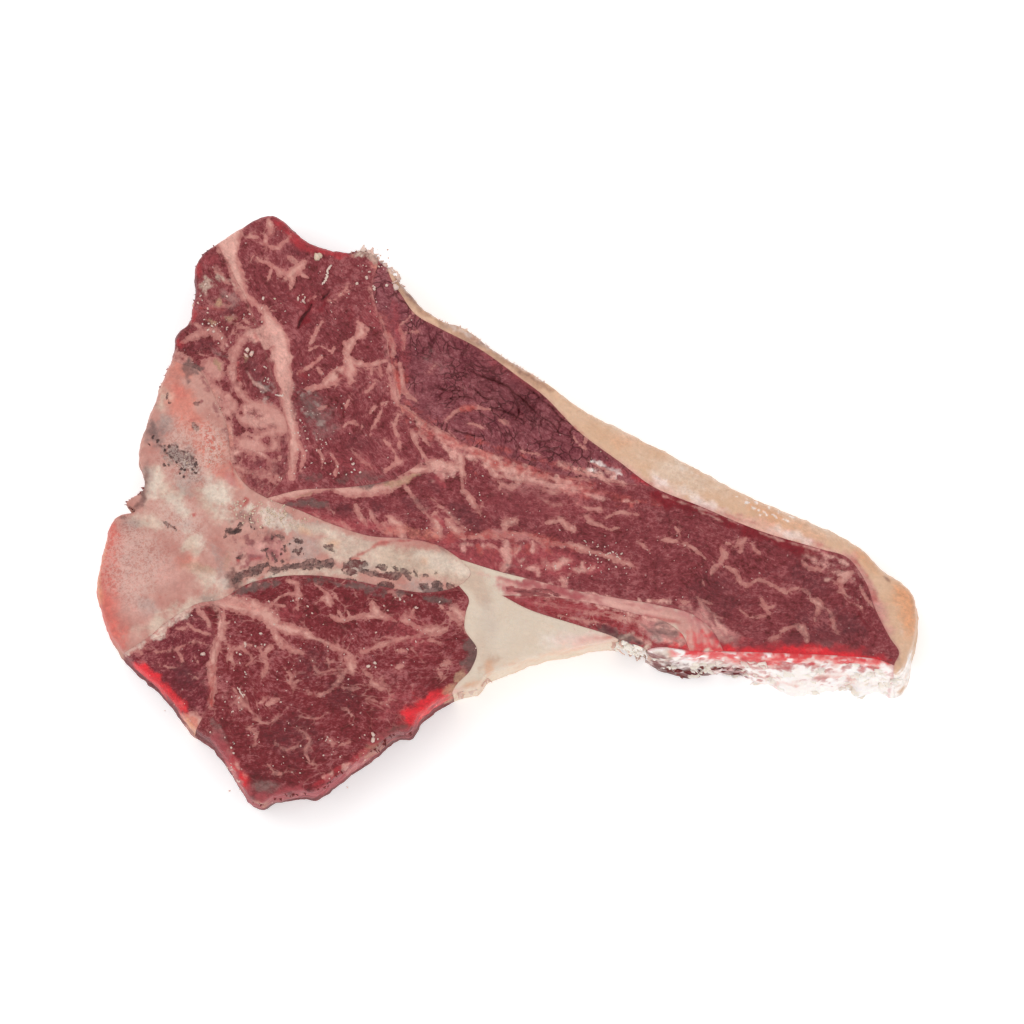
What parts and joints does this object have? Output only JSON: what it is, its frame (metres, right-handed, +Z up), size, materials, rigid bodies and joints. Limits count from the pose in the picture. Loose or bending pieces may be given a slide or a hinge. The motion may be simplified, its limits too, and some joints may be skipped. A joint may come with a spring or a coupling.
{
  "type": "dry-aged t-bone steak",
  "caption": "Raw bone-in beef steak lying flat: T-shaped sawn bone between strip loin and tenderloin, with a fat cap along its back edge.",
  "frame": {"origin": "middle of the steak's bounding box, on the flat underside it lies on", "axes": "+X from the chine to the tail, along the steak's length; +Y from the tenderloin towards the fat cap; +Z up, out of the upper cut face"},
  "size_m": [0.264, 0.191, 0.0269],
  "materials": {
    "bone": "sawn, moist and matt, pale pink to cream with grey dried marks",
    "lean_meat": "moist raw muscle with pink marbling, satin",
    "dried_lean_meat": "dark dry-aged muscle with fine cracks, satin",
    "mixed_meat": "muscle streaked with pink connective tissue, satin",
    "cap_fat": "firm aged fat, cream to tan, glossy where moist",
    "inner_fat": "soft ivory fat, satin"
  },
  "bodies": {
    "root": {"bone": "bone", "loin_eye": "lean_meat", "cap_muscle": "dried_lean_meat", "top_muscle": "lean_meat", "chine_muscle": "mixed_meat", "tenderloin": "lean_meat", "psoas_minor": "lean_meat", "flank_strip": "lean_meat", "fat_cap": "cap_fat", "inner_fat": "inner_fat", "flank_fat": "inner_fat"}
  },
  "joints": []
}
